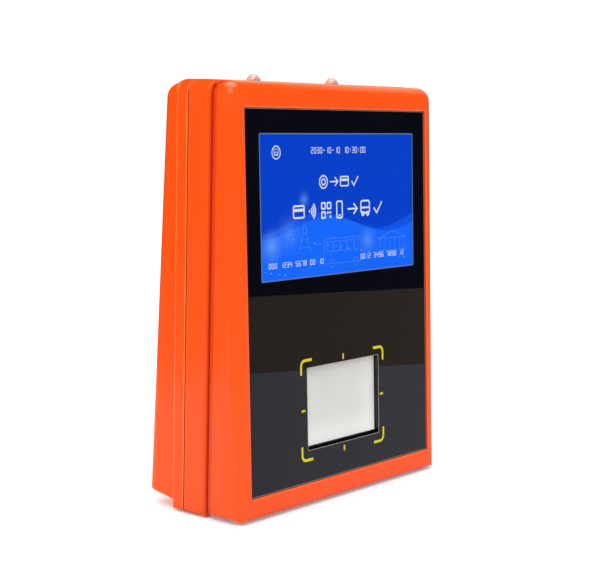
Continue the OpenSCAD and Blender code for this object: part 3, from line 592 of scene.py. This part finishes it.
def picture():
    """The idle picture: deep blue with two lighter waves and soft glows."""
    m, t, s = blank("display")
    place = t.nodes.new("ShaderNodeSeparateXYZ")
    t.links.new(coords(t), place.inputs[0])
    x = place.outputs[0]
    up = place.outputs[2]
    near = wave_height(t, x, *NEAR_WAVE)
    far = wave_height(t, x, *FAR_WAVE)
    c = mix(t, below(t, up, far, 0.0005), DEEP_BLUE, MID_BLUE)
    c = mix(t, below(t, up, near, 0.0004), c, WAVE_BLUE)
    for cx, cz, r, peak in GLOWS:
        c = mix(t, glow(t, x, up, cx, cz, r, peak), c, GLOW_BLUE)
    cloudy = ramp(t, grain(t, 25.0), (0.3, (0.95, 0.95, 0.95)), (0.7, (1, 1, 1)))
    t.links.new(mix(t, 1.0, c, cloudy, "MULTIPLY"), s.inputs["Emission Color"])
    s.inputs["Emission Strength"].default_value = 1.13
    s.inputs["Base Color"].default_value = (0.002, 0.003, 0.006, 1)
    s.inputs["Specular IOR Level"].default_value = 0.0
    t.links.new(span(t, grain(t, 200.0), 0.45, 0.6), s.inputs["Roughness"])
    return m


MATS = {
    "orange_shell": orange_shell(),
    "seal_rubber": surface("seal_rubber", (0.014, 0.013, 0.013), 0.62, 0.25, spec=0.3,
                           depth=0.00004),
    "panel_glass": glass_sheet(),
    "panel_print": black_print(),
    "foam_tape": surface("foam_tape", (0.03, 0.032, 0.035), 0.85, 0.3, fine=900.0,
                         depth=0.00012),
    "frosted_window": frosted(),
    "bright_steel": brushed("bright_steel", (0.62, 0.62, 0.61), 0.3, (0.05, 1, 1)),
    "screw_steel": brushed("screw_steel", (0.55, 0.55, 0.54), 0.27, (1, 0.2, 1)),
    "display": picture(),
    "light_plastic": surface("light_plastic", (0.72, 0.71, 0.67), 0.45, 0.05),
    "dark_plastic": surface("dark_plastic", (0.02, 0.021, 0.023), 0.5, 0.22, spec=0.4,
                            depth=0.00004),
    "lens_glass": clear("lens_glass", (0.9, 0.96, 1.0), 1.52),
    "lamp": surface("lamp", (0.85, 0.83, 0.7), 0.3, 0.08),
    "circuit_board": circuit_board(),
    "brass": brushed("brass", (0.72, 0.48, 0.18), 0.3, (1, 0.3, 1)),
    "ribbon_film": ribbon_film(),
    "clear_dome": clear("clear_dome", (0.97, 0.95, 0.94), through=0.72),
    "ceramic": surface("ceramic", (0.62, 0.55, 0.38), 0.5, 0.1),
    "green_plastic": surface("green_plastic", (0.03, 0.28, 0.07), 0.42, 0.12),
    "red_button": surface("red_button", (0.6, 0.02, 0.015), 0.38, 0.1),
    "yellow_button": surface("yellow_button", (0.75, 0.5, 0.03), 0.38, 0.1),
    "lock_chrome": brushed("lock_chrome", (0.7, 0.7, 0.71), 0.16, (1, 1, 0.3)),
}
# printed yellow ink drawn glowing: painted light, no lamp behind it
MARK_YELLOW = glow_plain("mark_yellow", (0.74, 0.66, 0.014), 0.95)
# printed line drawn glowing: painted light
EDGE_GREY = glow_plain("screen_edge_grey", (0.1, 0.17, 0.36), 1.0)
GROUND_EDGE = surface("ground_edge", (0.34, 0.31, 0.3), 0.5, 0.12)
PIX_WHITE = glow_plain("pixel_white", (0.8, 0.86, 1.0), 0.95)
PIX_FAINT = glow_plain("pixel_faint", (0.06, 0.24, 0.98), 1.0)
PIX_SPARK = glow_plain("pixel_spark", (0.22, 0.5, 1.0), 1.0)


def slot_of(node):
    """The record's material slot of a CAD node."""
    return NODES[node].data.materials[0].name.split(".")[0]


# ---------------------------------------------------------------- front panel
def panel_glass():
    """The cover glass, cut out at the scan window."""
    bm = bmesh.new()
    xs = (-GLASS_W / 2, -WINDOW_W / 2, WINDOW_W / 2, GLASS_W / 2)
    zs = (-GLASS_H / 2, WINDOW_UP - WINDOW_H / 2, WINDOW_UP + WINDOW_H / 2, GLASS_H / 2)
    cells(bm, xs, zs, [(1, 1)], 0.0, GLASS_T)
    bmesh.ops.dissolve_limit(bm, angle_limit=0.01, verts=bm.verts, edges=bm.edges)
    o = finish_piece("cover_glass", bm, MATS["panel_glass"], "case", PANEL, 0.0003)
    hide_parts("panel_glass")


def panel_print():
    """The black print, open at the picture and at the scan window."""
    bm = bmesh.new()
    e = PRINT_EDGE
    w = GLASS_W / 2 - e
    h = GLASS_H / 2 - e
    xs = (-w, -SCREEN_W / 2, -WINDOW_W / 2 - e, WINDOW_W / 2 + e, SCREEN_W / 2, w)
    zs = (-h, WINDOW_UP - WINDOW_H / 2 - e, WINDOW_UP + WINDOW_H / 2 + e,
          SCREEN_UP - SCREEN_H / 2, SCREEN_UP + SCREEN_H / 2, h)
    cells(bm, xs, zs, [(2, 1), (1, 3), (2, 3), (3, 3)], PRINT_FRONT, PRINT_BACK)
    bmesh.ops.dissolve_limit(bm, angle_limit=0.01, verts=bm.verts, edges=bm.edges)
    o = finish_piece("mask_print", bm, MATS["panel_print"], "case", PANEL)
    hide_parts("panel_print")


def screen_edge():
    """The thin paler line printed round the picture, drawn glowing as painted light."""
    bm = bmesh.new()
    line = 0.0007
    ribbon(bm, rounded(0, SCREEN_UP, SCREEN_W + line, SCREEN_H + line, 0.0006), line,
           MARK_FRONT, MARK_BACK, True)
    finish_piece("screen_edge_line", bm, EDGE_GREY, "case", PANEL)


def aiming_marks():
    """Four rounded corners and four ticks round the reading window, in yellow ink drawn glowing as painted
    light.
    """
    bm = bmesh.new()
    w = MARKS_W / 2
    h = MARKS_H / 2
    mid = MARKS_UP
    side = MARKS_SIDE
    across = 0.0104
    down = 0.0088
    r = 0.0035
    tick = 0.0035
    for sx in (-1, 1):
        for sz in (-1, 1):
            corner = [(side + sx * (w - r + r * math.sin(a)), mid + sz * (h - r + r * math.cos(a)))
                      for a in (math.radians(15 * i) for i in range(7))]
            points = [(side + sx * (w - across), mid + sz * h)] + corner
            points.append((side + sx * w, mid + sz * (h - down)))
            ribbon(bm, points, MARK_STROKE, MARK_FRONT, MARK_BACK)
        ticks = ([(side + sx * w, mid), (side + sx * (w - tick), mid)],
                 [(side, mid + sx * h), (side, mid + sx * (h - tick))])
        for points in ticks:
            ribbon(bm, points, MARK_STROKE * 0.8, MARK_FRONT, MARK_BACK)
    finish_piece("aiming_marks", bm, MARK_YELLOW, "case", PANEL)


def ground_edges():
    """The ground arris of the glass, round its outline and round the reading window."""
    bm = bmesh.new()
    line = 0.00025
    corner = 0.0004
    front = -0.00003
    back = 0.0001
    for w, h, up in ((GLASS_W - line, GLASS_H - line, 0.0), (WINDOW_W + line, WINDOW_H + line, WINDOW_UP)):
        ribbon(bm, rounded(0, up, w, h, corner), line, front, back, True)
    finish_piece("glass_arris", bm, GROUND_EDGE, "case", PANEL)


def window_plate():
    """The opal plate that closes the scan window from behind."""
    bm = bmesh.new()
    cells(bm, cuts(PLATE_W / 2, 12), cuts(PLATE_H / 2, 10), [], PLATE_FRONT, PLATE_BACK)
    at = PANEL @ Matrix.Translation((0, 0, WINDOW_UP))
    o = finish_piece("opal_window", bm, MATS["frosted_window"], "case", at)
    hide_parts("scan_window")


def window_shade_band():
    """Black band round the window plate, widest at its foot: painted shade where the walls of the window's
    recess lie in shadow.
    """
    bm = bmesh.new()
    w = PLATE_W / 2
    h = PLATE_H / 2
    xs = (-w, -WINDOW_W / 2 + 0.0001, WINDOW_W / 2 - 0.0003, w)
    zs = (-h, -WINDOW_H / 2 + 0.0018, WINDOW_H / 2 - 0.0001, h)
    cells(bm, xs, zs, [(1, 1)], MASK_FRONT, MASK_BACK)
    at = PANEL @ Matrix.Translation((0, 0, WINDOW_UP))
    # the black print finish is used here for painted shade
    finish_piece("window_shade_band", bm, MATS["panel_print"], "case", at)


# ---------------------------------------------------------------- display contents
SCREEN = PANEL @ Matrix.Translation((0, 0, SCREEN_UP))
SEGMENTS = {"0": "abcdef", "1": "bc", "2": "abged", "3": "abgcd", "4": "fgbc", "5": "afgcd",
            "6": "afgedc", "7": "abc", "8": "abcdefg", "9": "abcdfg", "-": "g"}


def picture_plate():
    """The display's lit front."""
    bm = bmesh.new()
    cells(bm, cuts(LCD_W / 2, 16), cuts(LCD_H / 2, 10), [], LCD_FRONT, LCD_BACK)
    o = finish_piece("picture_plate", bm, MATS["display"], "case", SCREEN)
    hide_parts("display_panel")


def digit(bm, mark, x, z, w, h, stroke):
    """One seven-segment figure, or a colon."""
    ends = {"a": ((0, 2), (1, 2)), "b": ((1, 2), (1, 1)), "c": ((1, 1), (1, 0)), "d": ((0, 0), (1, 0)),
            "e": ((0, 1), (0, 0)), "f": ((0, 2), (0, 1)), "g": ((0, 1), (1, 1))}
    for name in SEGMENTS.get(mark, ""):
        a, b = ends[name]
        ribbon(bm, [(x + a[0] * w, z + a[1] * h / 2), (x + b[0] * w, z + b[1] * h / 2)],
               stroke, INK_FRONT, INK_BACK)
    if mark == ":":
        for up in (0.3, 0.7):
            prism(bm, rounded(x + w / 2, z + up * h, stroke * 1.4, stroke * 1.4, stroke * 0.3),
                  INK_FRONT, INK_BACK)


def number_line(bm, marks, middle, z, wide, h, stroke):
    """A row of figures round middle."""
    pitch = wide / len(marks)
    for i, mark in enumerate(marks):
        x = middle - wide / 2 + pitch * (i + 0.2)
        digit(bm, mark, x, z, pitch * 0.6, h, stroke)


def icon_card(bm, x, z, r, s):
    """A card with its stripe. r is half a pictogram, s its stroke."""
    ribbon(bm, rounded(x, z, 2 * r, 1.4 * r, 0.2 * r), s, INK_FRONT, INK_BACK, True)
    ribbon(bm, [(x - r, z + 0.2 * r), (x + r, z + 0.2 * r)], s * 1.6, INK_FRONT, INK_BACK)


def icon_waves(bm, x, z, r, s):
    """Radio waves from a dot."""
    for k in (0.45, 0.8, 1.15):
        ribbon(bm, arc(x - 0.6 * r, z, k * r, -50, 50), s, INK_FRONT, INK_BACK)
    prism(bm, rounded(x - 0.6 * r, z, 0.3 * r, 0.3 * r, 0.14 * r), INK_FRONT, INK_BACK)


def icon_phone(bm, x, z, r, s):
    """A phone with its button."""
    ribbon(bm, rounded(x, z, 1.1 * r, 2 * r, 0.2 * r), s, INK_FRONT, INK_BACK, True)
    ribbon(bm, [(x - 0.2 * r, z - 0.7 * r), (x + 0.2 * r, z - 0.7 * r)], s, INK_FRONT, INK_BACK)


def icon_squares(bm, x, z, r, s):
    """Three corner squares and three dots of a code."""
    for sx, sz in ((-1, 1), (1, 1), (-1, -1)):
        ribbon(bm, rounded(x + sx * 0.55 * r, z + sz * 0.55 * r, 0.7 * r, 0.7 * r, 0.1 * r), s,
               INK_FRONT, INK_BACK, True)
    for sx, sz in ((0.3, -0.3), (0.8, -0.8), (0.8, -0.3)):
        prism(bm, rounded(x + sx * r, z + sz * r, 0.3 * r, 0.3 * r, 0.05 * r), INK_FRONT, INK_BACK)


def icon_vehicle(bm, x, z, r, s):
    """The front of a vehicle on two wheels."""
    ribbon(bm, rounded(x, z + 0.15 * r, 1.8 * r, 1.5 * r, 0.3 * r), s, INK_FRONT, INK_BACK, True)
    ribbon(bm, [(x - 0.9 * r, z + 0.05 * r), (x + 0.9 * r, z + 0.05 * r)], s, INK_FRONT, INK_BACK)
    for sx in (-1, 1):
        wheel = arc(x + sx * 0.5 * r, z - 0.7 * r, 0.22 * r, 0, 330, 10)
        ribbon(bm, wheel, s, INK_FRONT, INK_BACK, True)


def icon_arrow(bm, x, z, r, s):
    """An arrow to the right."""
    ribbon(bm, [(x - r, z), (x + 0.85 * r, z)], s, INK_FRONT, INK_BACK)
    ribbon(bm, [(x + 0.2 * r, z + 0.65 * r), (x + 0.95 * r, z), (x + 0.2 * r, z - 0.65 * r)], s,
           INK_FRONT, INK_BACK)


def icon_coin(bm, x, z, r, s):
    """A coin as two rings."""
    ribbon(bm, arc(x, z, 0.95 * r, 0, 340, 17), s, INK_FRONT, INK_BACK, True)
    ribbon(bm, arc(x, z, 0.45 * r, 0, 330, 11), s, INK_FRONT, INK_BACK, True)


def icon_tick(bm, x, z, r, s):
    """A tick."""
    ribbon(bm, [(x - 0.8 * r, z), (x - 0.2 * r, z - 0.7 * r), (x + 0.9 * r, z + 0.7 * r)], s,
           INK_FRONT, INK_BACK)


def screen_pictograms():
    """Plain pictograms and clock figures where the display has its writing."""
    bm = bmesh.new()
    upper = (icon_coin, icon_arrow, icon_card, icon_tick)
    lower = (icon_card, icon_waves, icon_squares, icon_phone, icon_arrow, icon_vehicle, icon_tick)
    for row, first, pitch, z, r, stroke in ((upper, -0.0158, 0.0106, 0.0139, 0.0041, 0.0009),
                                            (lower, -0.0402, 0.0134, -0.0036, 0.0051, 0.0011)):
        for i, icon in enumerate(row):
            icon(bm, first + pitch * i, z, r, stroke)
    finish_piece("screen_pictograms", bm, PIX_WHITE, "case", SCREEN)
    bm = bmesh.new()
    number_line(bm, "2030-10-10 10:30:00", 0.0, 0.0316, 0.056, 0.0034, 0.00045)
    number_line(bm, "000 1234 5678 00 10", -0.043, -0.0362, 0.053, 0.0029, 0.0004)
    number_line(bm, "0012 3456 7890 12", 0.045, -0.0358, 0.048, 0.0029, 0.0004)
    finish_piece("screen_figures", bm, PIX_WHITE, "case", SCREEN)


def screen_badge():
    """A plain round badge with a small vehicle, top left."""
    bm = bmesh.new()
    x = -0.0605
    ribbon(bm, arc(x, 0.0323, 0.0038, 0, 345, 23), 0.0007, INK_FRONT, INK_BACK, True)
    icon_vehicle(bm, x, 0.0324, 0.0021, 0.0004)
    finish_piece("screen_badge", bm, PIX_WHITE, "case", SCREEN)


def line_tower(bm, s):
    """A lattice tower with a round platform."""
    x = -0.035
    foot = -0.0285
    for sx in (-1, 1):
        leg = [(x + sx * 0.006, foot), (x + sx * 0.0018, foot + 0.012), (x + sx * 0.0006, foot + 0.019)]
        ribbon(bm, leg, s, INK_FRONT, INK_BACK)
    for k in (0.003, 0.008, 0.012):
        bar = [(x - 0.006 + k * 0.35, foot + k), (x + 0.006 - k * 0.35, foot + k)]
        ribbon(bm, bar, s, INK_FRONT, INK_BACK)
    ribbon(bm, arc(x, foot + 0.0135, 0.0022, 0, 340, 17), s, INK_FRONT, INK_BACK, True)


def line_vehicle(bm, s):
    """A long vehicle from its side."""
    x = 0.004
    z = -0.029
    ribbon(bm, rounded(x, z, 0.04, 0.0155, 0.0022), s, INK_FRONT, INK_BACK, True)
    for i in range(5):
        ribbon(bm, rounded(x - 0.0145 + 0.0072 * i, z + 0.0028, 0.006, 0.0062, 0.0006), s,
               INK_FRONT, INK_BACK, True)
    for sx in (-1, 1):
        ribbon(bm, arc(x + sx * 0.012, z - 0.0078, 0.0024, 0, 340, 17), s, INK_FRONT, INK_BACK, True)


def line_hall(bm, s):
    """A hall with columns and a low gable."""
    x = 0.056
    z = -0.032
    eaves = z + 0.008
    for line in ([(x - 0.018, z), (x + 0.018, z)],
                 [(x - 0.015, eaves), (x, z + 0.0125), (x + 0.015, eaves)],
                 [(x - 0.016, eaves), (x + 0.016, eaves)]):
        ribbon(bm, line, s, INK_FRONT, INK_BACK)
    for i in range(6):
        across = x - 0.0135 + 0.0054 * i
        ribbon(bm, [(across, z), (across, eaves)], s, INK_FRONT, INK_BACK)


def screen_line_art():
    """The faint drawing on the lower waves."""
    bm = bmesh.new()
    for draw in (line_tower, line_vehicle, line_hall):
        draw(bm, 0.0004)
    finish_piece("screen_line_art", bm, PIX_FAINT, "case", SCREEN)


def screen_sparks():
    """Small light dots scattered over the waves, at places that follow a rule."""
    bm = bmesh.new()
    for i in range(22):
        x = -0.072 + 0.144 * ((i * 0.618) % 1.0)
        z = -0.041 + 0.022 * ((i * 0.382 + 0.13) % 1.0)
        r = 0.0003 + 0.00025 * ((i * 0.27) % 1.0)
        prism(bm, arc(x, z, r, 0, 330, 11), INK_FRONT, INK_BACK)
    finish_piece("screen_sparks", bm, PIX_SPARK, "case", SCREEN)


# ---------------------------------------------------------------- shells, door and hardware
BODY_OF = {n: b for b, ns in frame["record"]["behaviour"]["bodies"].items() for n in ns}
# The nodes that are shown with softened edges, and how wide each bevel is
DRESSED = {"front_housing": 0.0003, "rear_cover": 0.0003, "service_door": 0.0004, "service_tray": 0.0003,
           "lock_barrel": 0.0003, "lock_plug": 0.0002, "lock_cam": 0.0002, "reset_button": 0.0003,
           "setup_button": 0.0003, "cable_grommet": 0.0004, "cover_screws": 0.0001, "mount_inserts": 0.0002,
           "status_dome_left": 0.0001, "status_dome_right": 0.0001, "data_port": 0.0002,
           "power_terminal": 0.0002, "service_screws": 0.0001, "hinge_pin": 0.0001}


def dress_all():
    """The outer pieces and the bay's, with softened edges."""
    for node, width in DRESSED.items():
        slot = slot_of(node)
        dress(node, MATS[slot], width, BODY_OF[node])


def paint_rest():
    """Inner parts keep their CAD shape and get their finish."""
    for node, o in NODES.items():
        if o.hide_render:
            continue
        o.data.materials[0] = MATS[slot_of(node)]


# ---------------------------------------------------------------- studio
FLOOR_RADIUS = 8
FLOOR_HEIGHT = -0.0002
FLAG_HEIGHT = 0.0004      # flags that lie on the floor
IN_FRONT = (200, 368)     # azimuths of the two halves of the studio, in degrees
BEHIND = (8, 200)
SOFT_SPREAD = 2.6         # how wide the soft lights shine, in radians


def studio_material(name, colour, glow_strength):
    """Matt studio paper that glows a little."""
    m, t, s = blank(name)
    dark, light = tones(colour, 0.01)
    t.links.new(ramp(t, grain(t, 0.8, 3.0), (0.3, dark), (0.7, light)), s.inputs["Base Color"])
    s.inputs["Roughness"].default_value = 0.9
    s.inputs["Specular IOR Level"].default_value = 0.1
    s.inputs["Emission Color"].default_value = (*colour, 1)
    s.inputs["Emission Strength"].default_value = glow_strength
    m.cycles.emission_sampling = "NONE"
    return m


def stage_mesh(name, points, faces, mat):
    """A mesh that belongs to the studio."""
    mesh = bpy.data.meshes.new(name)
    mesh.from_pydata(points, [], faces)
    mesh.materials.append(mat)
    o = bpy.data.objects.new(name, mesh)
    SCENE.collection.objects.link(o)
    return o


def floor():
    """A round pale floor just under the part."""
    turns = [math.radians(5 * i) for i in range(72)]
    ring = [(FLOOR_RADIUS * math.cos(a), FLOOR_RADIUS * math.sin(a), FLOOR_HEIGHT) for a in turns]
    paper = studio_material("studio_floor", (0.86, 0.86, 0.855), 0.21)
    stage_mesh("studio_floor", ring, [list(range(72))], paper)


def flag(name, first, second, azimuths, colour, fade_from=None):
    """A curved studio flag, seen only in reflections. first and second are its two rims as
    (radius, height); azimuths are where it starts and ends, in degrees. fade_from is the radius
    from which its light fades out to the second rim."""
    start, end = azimuths
    steps = 40
    points = []
    for i in range(steps + 1):
        a = math.radians(start + (end - start) * i / steps)
        for r, z in (first, second):
            points.append((r * math.cos(a), r * math.sin(a), z))
    faces = [(2 * i, 2 * i + 2, 2 * i + 3, 2 * i + 1) for i in range(steps)]
    m = bpy.data.materials.new(name)
    m.use_nodes = True
    t = m.node_tree
    t.nodes.clear()
    out = t.nodes.new("ShaderNodeOutputMaterial")
    lit = t.nodes.new("ShaderNodeEmission")
    lit.inputs["Color"].default_value = (*colour, 1)
    if fade_from is not None:
        away = t.nodes.new("ShaderNodeVectorMath")
        away.operation = "LENGTH"
        t.links.new(coords(t, (1, 1, 0)), away.inputs[0])
        t.links.new(span(t, away.outputs["Value"], 1.0, 0.0, fade_from, second[0]), lit.inputs["Strength"])
    t.links.new(lit.outputs[0], out.inputs["Surface"])
    m.cycles.emission_sampling = "NONE"
    o = stage_mesh(name, points, faces, m)
    o.visible_camera = False
    o.visible_diffuse = False
    o.visible_shadow = False


def softbox(name, place, target, size, power):
    """A rectangular soft light."""
    light = bpy.data.lights.new(name, "AREA")
    light.shape = "RECTANGLE"
    light.size = size[0]
    light.size_y = size[1]
    light.energy = power
    light.spread = SOFT_SPREAD
    o = bpy.data.objects.new(name, light)
    SCENE.collection.objects.link(o)
    o.location = place
    o.rotation_euler = (Vector(target) - Vector(place)).to_track_quat("-Z", "Y").to_euler()
    o.visible_camera = False


def studio():
    """Floor, reflection flags, two soft lights and an even white world."""
    floor()
    near = 0.72
    wall = 2.05
    low = FLAG_HEIGHT
    flag("flag_floor", (0.0, low), (near, low), IN_FRONT, (0.55, 0.53, 0.6))
    flag("flag_band", (near, low), (wall, low), IN_FRONT, (0.34, 0.25, 0.2))
    flag("flag_wall", (wall, 0.0), (wall, 1.0), IN_FRONT, (0.02, 0.025, 0.06))
    flag("flag_right", (1.5, 0.55), (1.5, 1.5), (-10, 45), (1.1, 0.8, 0.5))
    flag("flag_near", (0.0, low), (0.5, low), BEHIND, (0.9, 0.8, 0.75))
    flag("flag_far", (0.5, low), (1.6, low), BEHIND, (0.16, 0.13, 0.11))
    flag("flag_top", (0.0, 1.85), (1.1, 1.85), (0, 360), (6.0, 5.6, 5.2), 0.35)
    flag("flag_back", (1.6, 0.0), (1.6, 0.8), BEHIND, (0.03, 0.025, 0.02))
    middle = (0, 0, 0.13)
    power = 10
    softbox("key_light", (-1.3, -0.9, 1.5), middle, (1.2, 1.2), power)
    softbox("top_light", (0.1, 0.2, 1.9), middle, (1.6, 1.6), power)
    world = bpy.data.worlds.new("studio_world")
    world.use_nodes = True
    back = world.node_tree.nodes["Background"]
    back.inputs["Color"].default_value = (1, 1, 1, 1)
    back.inputs["Strength"].default_value = 1.02
    world.cycles.sampling_method = "NONE"     # an even world needs no light sampling
    SCENE.world = world
    world.cycles_visibility.glossy = False    # glossy surfaces see only the flags and lights
    SCENE.view_settings.view_transform = "Standard"


def camera():
    """A plain camera at the viewing angle of the reference picture."""
    data = bpy.data.cameras.new("photo_camera")
    data.lens = CAM_LENS
    data.sensor_width = SENSOR_WIDTH
    data.clip_end = FAR_CLIP
    o = bpy.data.objects.new("photo_camera", data)
    SCENE.collection.objects.link(o)
    right = CAM_FORWARD.cross(CAM_UP).normalized()
    up = right.cross(CAM_FORWARD).normalized()
    turn = Matrix((right, up, -CAM_FORWARD)).transposed().to_4x4()
    o.matrix_world = Matrix.Translation(CAM_PLACE) @ turn
    SCENE.camera = o


camera()
panel_glass()
panel_print()
screen_edge()
aiming_marks()
ground_edges()
window_plate()
window_shade_band()
picture_plate()
screen_pictograms()
screen_badge()
screen_line_art()
screen_sparks()
dress_all()
paint_rest()
studio()
